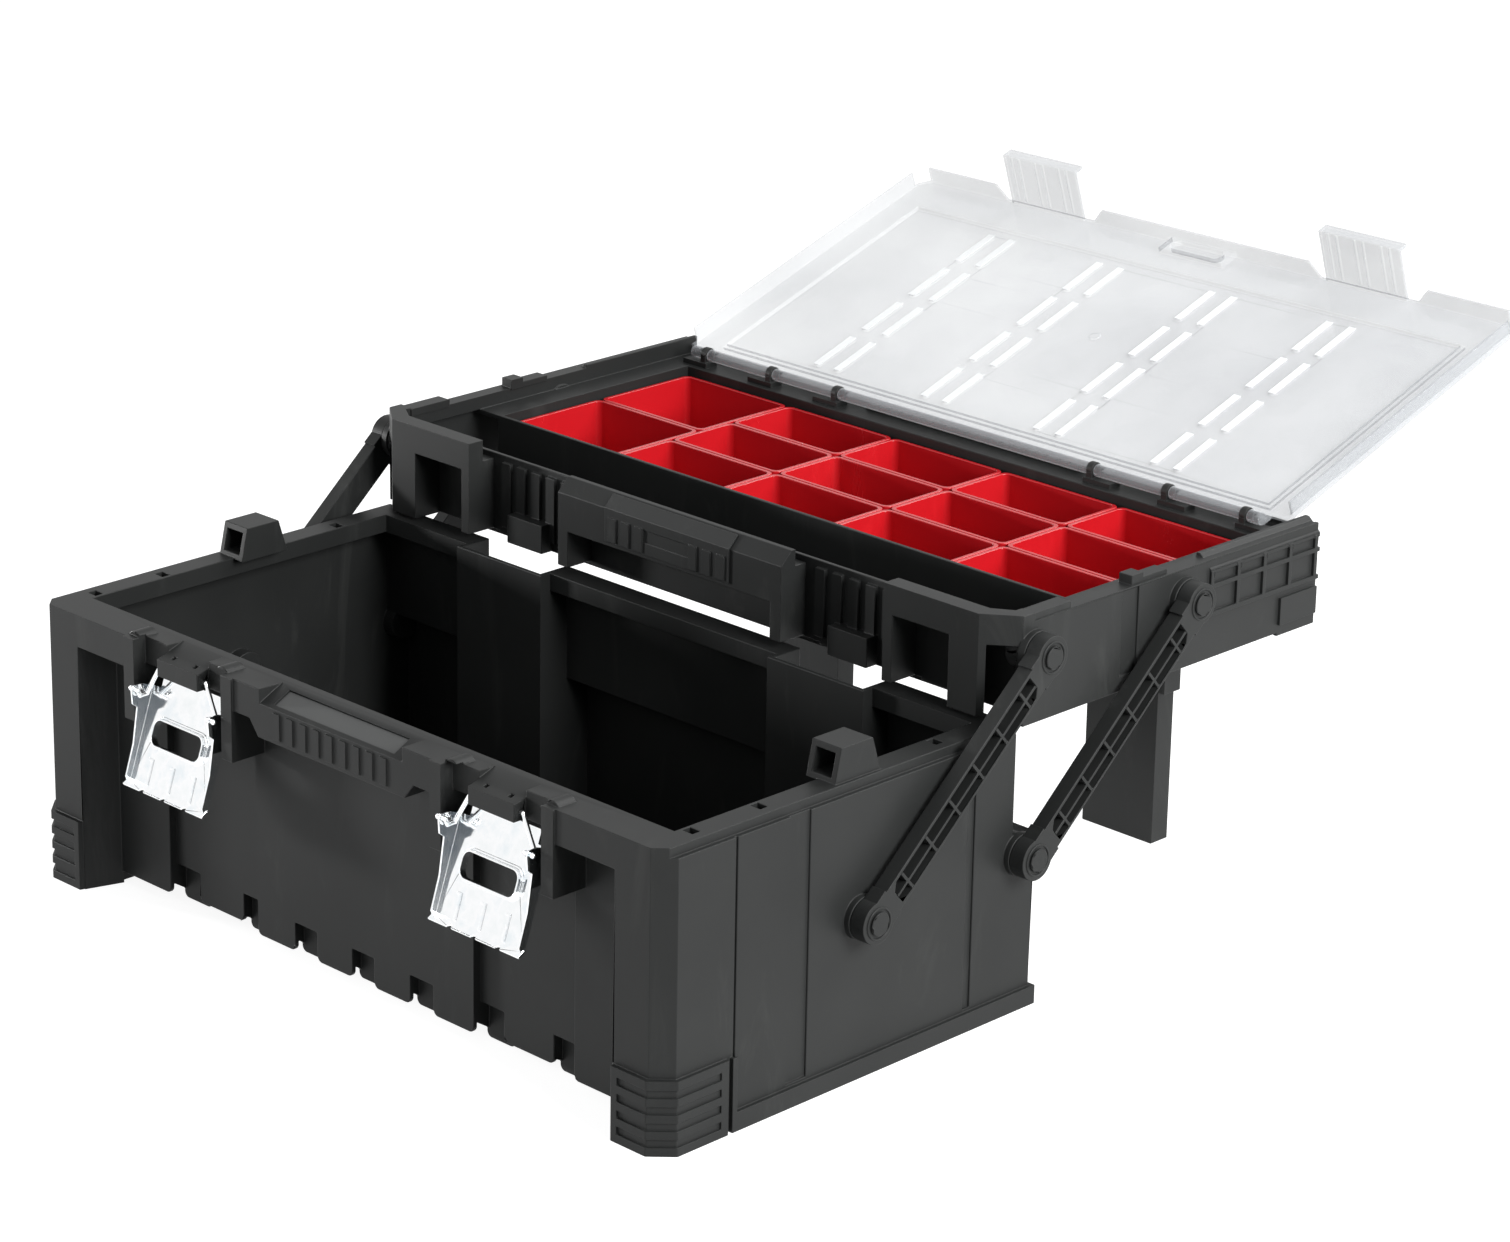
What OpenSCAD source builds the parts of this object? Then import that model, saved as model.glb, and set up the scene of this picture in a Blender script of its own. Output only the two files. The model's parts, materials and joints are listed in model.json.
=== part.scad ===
// Cantilever tool box: a deep base tub, a lift-over organiser tray on four parallel
// arms, removable bins, a clear hinged lid and two wire-bail draw latches.
// The box is drawn open. Units are millimetres, +Z is up, +X runs along the box.
// Inside the modules Y is counted from the front of the base; place() then moves
// everything so that the origin is the centre of the base's underside.

/* [Base] */
// Length of the base tub
base_l = 560; // [540:10:600]
// Depth of the base tub from front posts to lower rear wall
base_d = 310; // [306:2:330]
// Height of the base rim above the floor
base_h = 184; // [182:1:190]
// Thickness of the moulded walls
wall = 3; // [2:0.5:4]
// Width of the flat rim round the mouth of the tub
rim_w = 20; // [16:1:24]
// How far the front wall lies behind the corner posts
front_recess = 24; // [20:1:26]

/* [Cantilever] */
// Length of each arm between its two pivots
arm_len = 190.5; // [186:0.5:194]
// Lean of the arms from upright, the same when open and when closed
arm_lean = 48.9; // [46:0.1:50]
// Height of the lower pivots
pivot_z = 101; // [98:1:106]
// Lower pivot of the front arms, from the front
front_pivot_y = 157; // [152:1:160]
// Distance between front and rear arms
arm_pitch = 136.5; // [130:0.5:138]
// Thickness of an arm
arm_t = 10.5; // [8:0.5:12]

/* [Tray] */
// Height of the tray body
tray_h = 59; // [56:1:62]
// Depth of the tray body from its front wall to its rear wall
tray_d = 275; // [270:1:278]
// Depth that the front rim and the handle stand out of the tray
tray_nose = 18; // [16:1:20]

/* [Bins] */
// Width of one column of bins
bin_w = 98.4; // [92:0.2:99]
// Depth of all the bins of a column together
bin_rows_d = 170; // [160:1:171]
// Height of a bin
bin_h = 41; // [30:1:42]

/* [Lid] */
// Angle of the opened lid above the horizontal
lid_angle = 18.5; // [0:0.5:60]
// Reach of the lid from its hinge axis to its front edge
lid_len = 260; // [258:1:261]
// Half of the width of the lid
lid_half = 264; // [250:1:265]

/* [Latches] */
// Distance of each latch from the middle of the box
latch_x = 141; // [140.5:0.5:141.5]
// Drop of the wire bail from the lug to the lever pivot
bail_drop = 17.5; // [17:0.1:18]
// Reach of the wire bail in front of the lug's axis
bail_reach = 9.2; // [9:0.1:9.4]
// Tilt of the hanging lever, lower end outward
lever_tilt = 18.8; // [18:0.1:20]
// Diameter of the wire
wire_d = 3; // [2:0.5:3]

/* [Hidden] */
$fn = 48;
slack = 0.05;
half_l = base_l / 2;
arm_dy = arm_len * sin(arm_lean);
arm_dz = arm_len * cos(arm_lean);
pivots_y = [front_pivot_y, front_pivot_y + arm_pitch];
boss_t = 4.2;
boss_r = 13.5;
pin_r = 5;
arm_x = half_l + boss_t + 0.3;
tray_y = 293;
tray_z = base_h + 2;
rear_y = tray_y + tray_d;
side_z = tray_z + tray_h;
wall_y = tray_y + 3.5;
rib_y = [tray_y + 22.5, tray_y + 25];
rib_drop = 10;
nose_y = tray_y - tray_nose;
lip_y = nose_y + 12.5;
hinge_y = 548;
hinge_z = 244.4;
hooks_x = [111, 173, 236];
hook_w = 5;
lug_axis_y = 4;
lug_axis_z = 171.5;
lug_half = 19.5;
lever_half = 37.5;
bins_y = 366;
bins_z = tray_z + wall + 0.3;

black = "#2b2c2d";
red = "#b3141c";
clear = [0.86, 0.89, 0.91, 0.35];
zinc = "#c9ced3";

// ---- helpers ----
module place() translate([0, -base_d / 2, 0]) children();

module both_sides() {
    children();
    mirror([1, 0, 0]) children();
}

// A block between two planes on each axis
module span(x, y, z)
    translate([x[0], y[0], z[0]]) cube([x[1] - x[0], y[1] - y[0], z[1] - z[0]]);

// A (y, z) outline pushed along X
module along_x(x)
    translate([x[0], 0, 0]) rotate([90, 0, 90]) linear_extrude(x[1] - x[0]) children();

// An (x, z) outline pushed along Y
module along_y(y)
    translate([0, y[1], 0]) rotate([90, 0, 0]) linear_extrude(y[1] - y[0]) children();

// A plan outline pushed along Z
module upright(z) translate([0, 0, z[0]]) linear_extrude(z[1] - z[0]) children();

// A round bar or bore along X
module bar_x(x, y, z, r)
    translate([x[0], y, z]) rotate([0, 90, 0]) cylinder(r = r, h = x[1] - x[0]);

// A block with round upright corners
module soft_block(x, y, z, r) {
    span([x[0] + r, x[1] - r], y, z);
    span(x, [y[0] + r, y[1] - r], z);
    for (cx = [x[0] + r, x[1] - r], cy = [y[0] + r, y[1] - r])
        translate([cx, cy, z[0]]) cylinder(r = r, h = z[1] - z[0]);
}

// ---- base tub ----
rear_wall_y = base_d - 22;
rear_foot_y = base_d - 3;
step_z = 112;
channel_x = [104, 178];
channel_y = rear_wall_y - 23;
beam_z = base_h - 21;
recess_x = [99, 183];
groove_x = [98.5, 184];
// Sloped underside below the front wall
under_z = 16;
under_y = front_recess + 25;
function under(y) = under_z * (under_y - y) / (under_y - front_recess);
corner_slant = 8;
notch_y = 8;
groove_top = 160;
// Openings in the lower front edge, and the teeth left between them
groove_y = front_recess + 5.4;
slots_x = [[-63, -42.5], [-10, 10], [42.5, 63]];
groove_slots_x = [[98.5, 118.7], [161.3, 184]];
teeth_x = [[63, 98.5], [10, 42.5], [184, 238]];
groove_tooth_x = [118.7, 161.3];
slot_top = 27;
slot_d = 7;
tooth_z = 8;
slot_floor_z = 5.8;
groove_floor_z = 2.1;

// Side view of the tub: straight front, sloped lower edge, stepped rear
module tub_profile(t)
    polygon([[front_recess + t, base_h + t], [front_recess + t, under_z + 0.6 * t],
             [under_y + t / 5, t], [rear_foot_y - t, t],
             [rear_foot_y - t, step_z - t],
             [rear_wall_y - t, step_z - t], [rear_wall_y - t, base_h + t]]);

module tub_shell() {
    difference() {
        along_x([-half_l, half_l]) tub_profile(0);
        along_x([wall - half_l, half_l - wall]) tub_profile(wall);
    }
    // Flat rim with a turned-down lip
    difference() {
        span([1 - half_l, half_l - 1], [front_recess + 1, rear_wall_y - 1], [base_h - 12, base_h]);
        span([rim_w - half_l, half_l - rim_w], [front_recess + wall, rear_wall_y - 18],
             [base_h - 13, base_h + 1]);
        difference() {
            span([wall - half_l, half_l - wall], [front_recess + wall, rear_wall_y - wall],
                 [base_h - 13, base_h - wall]);
            span([rim_w - wall - half_l, half_l - rim_w + wall],
                 [front_recess, rear_wall_y - 18 + wall], [base_h - 14, base_h]);
        }
    }
}

// Outline of a front corner, proud by p beyond the post; its inner side slants
module corner_outline(x_in, y_back, p)
    polygon([[x_in, -p], [half_l - 11 + 0.41 * p, -p], [half_l + p, 11 - 0.41 * p],
             [half_l + p, y_back], [half_l - 2, y_back], [half_l - 2, front_recess + 1],
             [x_in - corner_slant, front_recess + 1]]);

module front_foot() {
    difference() {
        upright([0, 46]) corner_outline(242, 50, 3);
        for (z = [5.5 : 10 : 35.5]) difference() {
            upright([z, z + 4.8]) translate([247, -5]) square([half_l - 238, 49]);
            upright([z - 1, z + 6]) corner_outline(239, 51, 1.6);
        }
    }
    span([half_l - 1, half_l + 3], [53, 57], [0, 46]);
    // Foot under the raised front edge
    along_x([236, half_l - 2]) polygon([[front_recess - 6, 0], [front_recess - 6, under_z + 1],
                                        [front_recess + 1, under_z + 1], [under_y, 1.5],
                                        [under_y, 0]]);
}

// Middle of the front rim: a ribbed grip with a sloped top for the plain plate
plate_half = 54;
slope_deg = atan(9 / 18);
module on_slope() translate([0, 0, base_h - 9]) rotate([slope_deg, 0, 0]) children();

module front_grip() {
    along_y([0, front_recess + 1])
        polygon([[-90, beam_z], [-74, beam_z], [-66, beam_z - 10], [66, beam_z - 10], [74, beam_z],
                 [90, beam_z], [90, beam_z + 2], [-90, beam_z + 2]]);
    for (x = [-48 : 12 : 48]) span([x - 3.2, x + 3.2], [-1, 1], [beam_z - 7, base_h - 11]);
}

// Hollow underside of the grip
module grip_hollow() span([-60, 60], [wall + 1, front_recess - 1], [beam_z - 11, base_h - 15]);

// Lug that holds the wire bail; its top runs up into the rim
lug_x = [latch_x - lug_half, latch_x + lug_half];
lug_z = 166.3;

module lug() span(lug_x, [-1, front_recess + 1], [lug_z, base_h - 1]);

module lug_cuts() {
    bar_x([lug_x[0] - 1, lug_x[1] + 1], lug_axis_y, lug_axis_z, wire_d / 2 + slack);
    along_x(lug_x) polygon([[-2, 177.1], [5.6, 178.8], [20, base_h], [20, base_h + 1],
                            [-2, base_h + 1]]);
    for (s = [-1, 1])
        span([latch_x + s * 10.3 - 1.5, latch_x + s * 10.3 + 1.5], [3.6, 6.6], [174.5, base_h]);
}

// Notches beside the lug, which give room to the bail
module latch_notches() {
    span([recess_x[0], lug_x[0]], [-3, notch_y], [130, base_h + 1]);
    span([lug_x[1], recess_x[1]], [-3, notch_y], [130, base_h + 1]);
}

// Rim behind the lug
module latch_backing()
    span([recess_x[0] - 1, recess_x[1] + 1], [notch_y, front_recess + 1], [lug_z, base_h]);

// Room behind the front wall for a pocket as deep as y, closed at the height z
module pocket_shell(x, y, z) along_x([x[0] - wall, x[1] + wall])
    polygon([[front_recess + 1, z + wall], [front_recess + 1, under(front_recess + 1)],
             [y + wall, under(y + wall)], [y + wall, z + wall]]);

module pocket_cut(x, y, z) span(x, [front_recess - 1, y], [0, z]);

// Tooth of the lower front edge with round lower corners
module tooth(x, y, z) along_y([y, y + wall]) {
    translate([x[0] + 4, z]) square([x[1] - x[0] - 8, slot_top - z]);
    translate([x[0], z + 4]) square([x[1] - x[0], slot_top - z - 4]);
    for (cx = [x[0] + 4, x[1] - 4]) translate([cx, z + 4]) circle(r = 4);
}

module guide_block() {
    difference() {
        along_x([251, 274]) polygon([[140, base_h - 1], [145, base_h + 21], [171, base_h + 21],
                                     [178, base_h - 1]]);
        span([255, 270], [138, 160], [base_h + 3, base_h + 17]);
    }
}

module pivot_boss(y, z) {
    bar_x([half_l - 1, half_l + boss_t], y, z, boss_r);
    bar_x([half_l - 12, half_l - 1], y, z, boss_r - 1.5);
}

module pivot_bore(y, z) bar_x([half_l - 9, half_l + boss_t + 1], y, z, pin_r + slack);

module base_side_adds() {
    // Corner post, rim beam and the pillars beside the latch
    upright([0, base_h]) corner_outline(241, front_recess + 2, 0);
    difference() {
        span([recess_x[1], 242], [0, front_recess + 1], [beam_z, base_h]);
        span([recess_x[1] + 12, 231], [wall, front_recess - 1], [beam_z - 1, base_h - wall]);
    }
    for (x = [recess_x[0] - 10, recess_x[1]])
        span([x, x + 10], [-1.5, front_recess + 1], [130, base_h]);
    for (x = [103, 187]) translate([x, 3, base_h - 4]) rotate([-90, 0, 0]) cylinder(r = 7, h = 14);
    latch_backing();
    lug();
    pocket_shell(groove_x, groove_y, groove_top);
    for (x = groove_slots_x) {
        pocket_shell(x, groove_y + slot_d, slot_top);
        tooth([x[0] - 2, x[1] + 2], groove_y + slot_d, groove_floor_z);
    }
    tooth(groove_tooth_x, groove_y, tooth_z);
    for (x = teeth_x) tooth(x, front_recess, tooth_z);
    // Step of the side rim under the tray's skirt
    span([rebate_x - wall, half_l - 0.5], [12, rear_wall_y - 1], [base_h - 12, rebate_z]);
    span([rebate_x - wall, rebate_x + 1], [12, rear_wall_y - 1], [base_h - 12, base_h]);
    guide_block();
    front_foot();
    span([half_l - 1, half_l + 3], [57, base_d], [0, 12]);
    for (y = pivots_y) pivot_boss(y, pivot_z);
    // Walls of the channel that takes the leg
    span([channel_x[0] - wall, channel_x[1] + wall], [channel_y - wall, rear_wall_y], [0, base_h]);
    span([channel_x[0] - wall, channel_x[1] + wall], [channel_y, rear_foot_y], [0, step_z]);
}

rebate_x = half_l - 3.5;
rebate_z = base_h - 6;
module base_side_cuts() {
    // Chamfer of the upright corner
    upright([-1, base_h + 1]) polygon([[half_l - 11, 0], [half_l, 11], [half_l + 6, 11],
                                       [half_l + 6, -9], [half_l - 11, -9]]);
}

module base_tub() {
    color(black) place() difference() {
        union() {
            difference() {
                tub_shell();
                both_sides() base_side_cuts();
            }
            span([-recess_x[0], recess_x[0]], [0, front_recess + 1], [beam_z, base_h]);
            front_grip();
            span([-half_l, half_l], [rear_foot_y - 1, base_d], [0, 12]);
            for (x = slots_x) {
                pocket_shell(x, front_recess + slot_d, slot_top);
                tooth([x[0] - 2, x[1] + 2], front_recess + slot_d, slot_floor_z);
            }
            both_sides() base_side_adds();
        }
        for (x = slots_x) pocket_cut(x, front_recess + slot_d, slot_top);
        grip_hollow();
        // Sloped top of the front grip, and the seat of its plate
        along_x([-64, 64]) polygon([[-2, base_h - 10], [18, base_h], [18, base_h + 1],
                                    [-2, base_h + 1]]);
        on_slope() span([-plate_half, plate_half], [3.4, 16.8], [-2.5, 1]);
        both_sides() {
            latch_notches();
            pocket_cut(groove_x, groove_y, groove_top);
            for (x = groove_slots_x) pocket_cut(x, groove_y + slot_d, slot_top);
            lug_cuts();
            span([rebate_x, half_l + 1], [-1, rear_wall_y + 1], [rebate_z, base_h + 1]);
            for (y = [[55.5, 57], [99, 115], [248, 254]])
                span([half_l - 1.5, half_l + 1], y, [14, base_h - 3]);
            for (y = [34, 87, 232])
                span([half_l - 18, half_l - 10], [y - 3, y + 3], [base_h - 4, base_h + 1]);
            span(channel_x, [channel_y, base_d + 1], [-1, base_h + 1]);
            for (y = pivots_y) pivot_bore(y, pivot_z);
        }
    }
}

module front_plate() {
    color("#4a4b4c") place() on_slope()
        span([0.2 - plate_half, plate_half - 0.2], [3.6, 16.6], [-2.5, -1]);
}

// ---- arms and their pins ----
module pivot_pins(y0, z0) {
    for (y = [y0, y0 + arm_pitch]) {
        bar_x([half_l - 8.5, arm_x + arm_t + 0.3], y, z0, pin_r);
        bar_x([arm_x + arm_t + 0.2, arm_x + arm_t + 1.8], y, z0, 7.2);
    }
}

module base_pivot_pins() {
    color(black) place() both_sides() pivot_pins(front_pivot_y, pivot_z);
}

module tray_pivot_pins() {
    color(black) place() both_sides()
        pivot_pins(front_pivot_y + arm_dy, pivot_z + arm_dz);
}

// One arm, lower pivot at the origin and upper pivot straight above it
module arm_bar(top_slack) {
    ladder = [20, arm_len - 20];
    rung_pitch = 25.7;
    difference() {
        union() {
            for (z = [0, arm_len]) bar_x([0, arm_t], 0, z, 13);
            span([0, arm_t], [-9.5, 9.5], [0, arm_len]);
            span([0, arm_t], [-11, 11], [0, 16]);
            span([0, arm_t], [-11, 11], [arm_len - 16, arm_len]);
        }
        bar_x([-1, arm_t + 1], 0, 0, pin_r + slack);
        bar_x([-1, arm_t + 1], 0, arm_len, pin_r + top_slack);
        difference() {
            along_x([3, arm_t + 1])
                polygon([[-7.5, ladder[0] + 5], [-3, ladder[0]], [7.5, ladder[0]],
                         [7.5, ladder[1] - 5], [3, ladder[1]], [-7.5, ladder[1]]]);
            span([0, arm_t - 0.4], [0.6, 2.4], ladder);
            for (i = [-2.5 : 2.5])
                translate([0, 0, arm_len / 2 + i * rung_pitch])
                    span([0, arm_t - 0.4], [-8, 8], [-1, 1]);
        }
    }
}

module arm(y, top_slack)
    color(black) place() translate([arm_x, y, pivot_z]) rotate([-arm_lean, 0, 0]) arm_bar(top_slack);

module arm_front_right() arm(pivots_y[0], 3 * slack);
module arm_rear_right() arm(pivots_y[1], slack);
module arm_front_left() mirror([1, 0, 0]) arm(pivots_y[0], 3 * slack);
module arm_rear_left() mirror([1, 0, 0]) arm(pivots_y[1], 3 * slack);

// ---- latches ----
bail_y = lug_axis_y - bail_reach;
bail_z = lug_axis_z - bail_drop;
wire_r = wire_d / 2;

// A straight length of wire
module wire_run(a, b, r) {
    d = b - a;
    run = norm(d);
    translate(a) rotate([0, acos(d[2] / run), atan2(d[1], d[0])]) cylinder(r = r, h = run);
}

// Wire bail: bar through the lug, splayed legs that turn up and out into the lever's ears
module bail() {
    bar_x([-lug_half - 2.2, lug_half + 2.2], lug_axis_y, lug_axis_z, wire_r);
    for (s = [-1, 1]) {
        bends = [[s * (lug_half + 2.2), lug_axis_y, lug_axis_z],
                 [s * (lever_half - 3.5), bail_y + 7.4, bail_z - 3.6],
                 [s * (lever_half - 3.5), bail_y + 2, bail_z - 3.8],
                 [s * (lever_half - 3.3), bail_y, bail_z]];
        for (i = [0 : 2]) wire_run(bends[i], bends[i + 1], wire_r - slack);
        for (b = bends) translate(b) sphere(r = wire_r + 2 * slack);
        wire_run(bends[3], [s * (lever_half + 2), bail_y, bail_z], wire_r);
        translate([s * (lever_half + 2), bail_y, bail_z]) sphere(r = 1.9);
    }
}

// The lever is drawn hanging upright, its pivot at the origin and its back to +Y
plate_y = 13.7;
sheet = 1.2;

module lever_window(y, grow)
    along_y(y) {
        for (x = [-17.7, 17.7], z = [-25, -19.3]) translate([x, z]) circle(r = 5 + grow);
        translate([-22.7 - grow, -25]) square([45.4 + 2 * grow, 5.7]);
        translate([-17.7, -30 - grow]) square([35.4, 15.7 + 2 * grow]);
    }

module lever_flange()
    difference() {
        union() {
            along_x([lever_half - sheet, lever_half])
                polygon([[plate_y + sheet, 4.2], [4.4, 4.2], [-0.9, 2.3], [-2.2, -1.4], [1.2, -9.5],
                         [5.3, -11.1], [9.3, -34], [9.6, -54.7], [11.5, -57], [plate_y + sheet, -55]]);
            bar_x([lever_half - sheet, lever_half], 0, 0, 2.6);
        }
        bar_x([lever_half - 2, lever_half + 1], 0, 0, wire_r + slack);
    }

module lever_flat() {
    dashes = [-20.5, 0, 20.5];
    both_sides() lever_flange();
    difference() {
        union() {
            span([-lever_half, lever_half], [plate_y, plate_y + sheet], [-56, 4.2]);
            span([-28.5, 28.5], [plate_y, plate_y + sheet], [4, 13]);
            lever_window([plate_y - 3.7, plate_y + 0.5], 1.2);
            lever_window([plate_y - 1.1, plate_y + 0.5], 2.4);
            // Turned-out lip along the bottom
            along_x([-lever_half - 0.8, lever_half + 0.8])
                polygon([[plate_y + sheet, -55.2], [plate_y + sheet, -56.2], [10.7, -60.4],
                         [9.8, -59.5], [plate_y, -55.2]]);
            for (x = dashes) {
                span([x - 0.9, x + 0.9], [plate_y - 0.7, plate_y + 0.3], [-55.4, -39]);
                span([x - 3.4, x], [plate_y - 0.7, plate_y + 0.3], [-40.4, -39]);
            }
        }
        lever_window([plate_y - 5, plate_y + sheet + 1], 0);
        for (x = dashes) translate([x, 10.2, -60]) rotate([45, 0, 0])
            translate([0, 0, -3]) cylinder(r = 2, h = 6);
    }
}

module lever() translate([0, bail_y, bail_z]) rotate([-lever_tilt, 0, 0]) lever_flat();

module latch_wire_right() color(zinc) place() translate([latch_x, 0, 0]) bail();
module latch_wire_left() color(zinc) place() translate([-latch_x, 0, 0]) bail();
module latch_lever_right() color(zinc) place() translate([latch_x, 0, 0]) lever();
module latch_lever_left() color(zinc) place() translate([-latch_x, 0, 0]) lever();

// ---- tray ----
deck_z = tray_z + 50;
channel_in = 251;
comp_back = 362;
bin_back = bins_y + bin_rows_d + 2;

nose_x = recess_x[1] + 0.5;

// Plan of a front corner of the tray between two depths
module nose_outline(x_in, y_back)
    polygon([[x_in, nose_y], [259, nose_y], [half_l, 291], [half_l, y_back], [x_in, y_back]]);

module tray_side_adds() {
    tier_y = [461, rear_y];
    rail_z = [208.5, 226.5];
    span([half_l - wall, half_l], [tray_y, rear_y], [tray_z, side_z]);
    // Skirt below the floor, deeper at the rear
    span([half_l - wall, half_l], [tray_y, rear_y], [tray_z - 5.5, tray_z + 1]);
    span([half_l - wall, half_l], [531, rear_y], [tray_z - 7.5, tray_z]);
    span([channel_in - wall, channel_in], [comp_back, bin_back + wall], [tray_z, deck_z]);
    span([channel_in - wall, half_l - 2], [comp_back, rear_y - 1], [deck_z - wall, deck_z]);
    span([269, half_l], [tray_y + 7, rear_y - 1], [deck_z, side_z]);
    // Floor patch over the leg
    span([104, 182], [bin_back, rear_y - 1], [tray_z, tray_z + wall]);
    // Front corner with its pillars, pocket top and rim
    difference() {
        upright([tray_z, deck_z]) nose_outline(nose_x, tray_y + 8);
        span([191, 236], [nose_y - 1, wall_y], [tray_z - 1, 231]);
        span([239, half_l - wall], [nose_y + wall, tray_y + 9], [tray_z - 1, 231]);
    }
    difference() {
        upright([deck_z - 1, side_z + 5]) nose_outline(nose_x, tray_y + 8);
        upright([deck_z, side_z + 6]) polygon([[180, lip_y], [256, lip_y], [269, 296],
                                                     [269, tray_y + 9], [180, tray_y + 9]]);
    }
    // Ribbed wall behind the lid's tab, and the tongue below it
    for (x = [109 : 14 : 165]) span([x, x + 8], [tray_y + 1, wall_y + 1], [192, 236]);
    span([127, 160], [nose_y + 12, wall_y + 1], [tray_z, 205]);
    // Ridged rear part of the side
    for (i = [0 : 4])
        span([half_l - 1, half_l + 2], [tier_y[0] + i * 25.4, tier_y[0] + i * 25.4 + 3],
             [rail_z[0], deck_z + 2]);
    for (z = rail_z) span([half_l - 1, half_l + 2], tier_y, [z, z + 3]);
    along_y(tier_y) polygon([[269, deck_z], [269, side_z + 2.5], [272, side_z + 2.5],
                             [half_l + 1.5, deck_z + 3], [half_l + 1.5, deck_z]]);
    span([half_l - 1, half_l + 2], [531, rear_y - 1], [tray_z, 204]);
    // Raised stops on the rim
    span([268, half_l - 1], [tray_y + 7, 334], [side_z - 1, side_z + 4]);
    span([268, half_l - 2], [390, 401], [side_z - 1, side_z + 6]);
    span([268, half_l - 2], [400, 423], [side_z - 1, side_z + 3]);
    for (y = pivots_y) pivot_boss(y + arm_dy, pivot_z + arm_dz);
    // Hinge blocks, each with one hook round the lid's pin
    for (x = hooks_x) {
        span([x - 2, x + 21], [hinge_y - 6, hinge_y + 5], [deck_z - 1, hinge_z - 5]);
        bar_x([x, x + hook_w], hinge_y, hinge_z, 5);
        span([x, x + hook_w], [hinge_y - 5, hinge_y + 5], [deck_z - 1, hinge_z - 1]);
    }
}

module tray_shell() {
    color(black) place() difference() {
        union() {
            span([-channel_in, channel_in], [wall_y, bin_back + wall], [tray_z, tray_z + wall]);
            span([1 - half_l, half_l - 1], [wall_y, comp_back + wall], [tray_z, tray_z + wall]);
            span([2 - half_l, half_l - 2], [wall_y, wall_y + wall], [tray_z, deck_z + 4]);
            for (y = [comp_back, bin_back])
                span([-channel_in, channel_in], [y, y + wall], [tray_z, deck_z]);
            span([2 - half_l, half_l - 2], [bin_back, rear_y - 1], [deck_z - wall, deck_z]);
            span([-half_l, half_l], [rear_y - wall, rear_y], [tray_z, deck_z + 4]);
            // Locating rib under the floor, which drops inside the front rim of the base
            span([-240, 240], rib_y, [tray_z - rib_drop, tray_z + 1]);
            span([-95, 95], [rear_y - 12, rear_y - 6], [deck_z - 1, deck_z + 2]);
            for (x = [-90 : 10 : 90])
                span([x - 1.5, x + 1.5], [rear_y - 12, rear_y - 6], [deck_z, deck_z + 3.5]);
            both_sides() tray_side_adds();
        }
        both_sides() {
            span([half_l - 1.5, half_l + 1], [380, 395], [190, side_z - 1]);
            for (y = pivots_y) pivot_bore(y + arm_dy, pivot_z + arm_dz);
            for (x = hooks_x) bar_x([x - 1, x + hook_w + 1], hinge_y, hinge_z, 3 + 1.6 * slack);
            // Relief over the humps of the base rim
            for (x = [103, 187])
                span([x - 9, x + 9], [nose_y - 1, tray_y + 14], [tray_z - 1, tray_z + 2]);
        }
    }
}

handle_half = 99;
handle_top = side_z + 1.5;

// Hollow grip: front plate with a sloped top, web behind, cheeks at the ends
module carry_handle() {
    color(black) place() {
        along_x([-handle_half, handle_half])
            polygon([[nose_y, 213], [nose_y, 238], [nose_y + 8.5, handle_top], [lip_y, handle_top],
                     [lip_y, deck_z], [wall_y, deck_z], [wall_y, deck_z - 4],
                     [lip_y - 4, deck_z - 4], [lip_y - 4, handle_top - 6],
                     [nose_y + 8, handle_top - 6], [nose_y + 4, 236], [nose_y + 4, 213]]);
        both_sides() along_x([90, handle_half])
            polygon([[nose_y, 189], [nose_y, 238], [nose_y + 8.5, handle_top], [lip_y, handle_top],
                     [lip_y, deck_z], [wall_y, deck_z], [wall_y, 189]]);
    }
}

// Ribbed pad on the middle of the grip, with a bare lozenge
module handle_grip() {
    pad = 55;
    color("#3a3b3c") place() difference() {
        union() {
            along_x([-pad, pad])
                polygon([[nose_y, 216], [nose_y, 238], [nose_y + 7.5, 245.5], [nose_y + 6.6, 246.3],
                         [nose_y - 1.1, 238.6], [nose_y - 1.1, 216]]);
            for (x = [-48 : 12 : 48]) if (abs(x) > 20)
                span([x - 3.5, x + 3.5], [nose_y - 2, nose_y], [217, 233]);
        }
        span([-20, 20], [nose_y - 2, nose_y - 0.5], [224, 232]);
    }
}

module leg(s) {
    color(black) place() mirror([s < 0 ? 1 : 0, 0, 0]) difference() {
        union() {
            span([112, 171], [553, 569], [0, tray_z]);
            span([110, 176], [553, 569], [105, tray_z]);
        }
        difference() {
            span([115, 168], [553 + wall, 570], [wall, tray_z - wall]);
            span([140, 143], [553, 566], [0, tray_z]);
            for (z = [45, 91, 137]) span([112, 171], [553, 566], [z, z + wall]);
        }
    }
}

module leg_right() leg(1);
module leg_left() leg(-1);

// ---- bins ----
module bin(col, row, rows) {
    gap = 0.4;
    w = bin_w - 2 * gap;
    d = bin_rows_d / rows - 2 * gap;
    x = (col - 3.5) * bin_w + gap;
    y = bins_y + row * bin_rows_d / rows + gap;
    top = bins_z + bin_h;
    color(red) place() difference() {
        union() {
            soft_block([x + 1.2, x + w - 1.2], [y + 1.2, y + d - 1.2], [bins_z, top - 3], 5);
            soft_block([x, x + w], [y, y + d], [top - 3.5, top], 5.5);
        }
        soft_block([x + 2.7, x + w - 2.7], [y + 2.7, y + d - 2.7], [bins_z + 1.6, top + 1], 4);
    }
}

// ---- lid ----
// Flat lid: Y runs from the hinge axis to the front edge, Z points to the inner side
plate_n = [-5, -2.8];
pan_n = -7.4;

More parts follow.
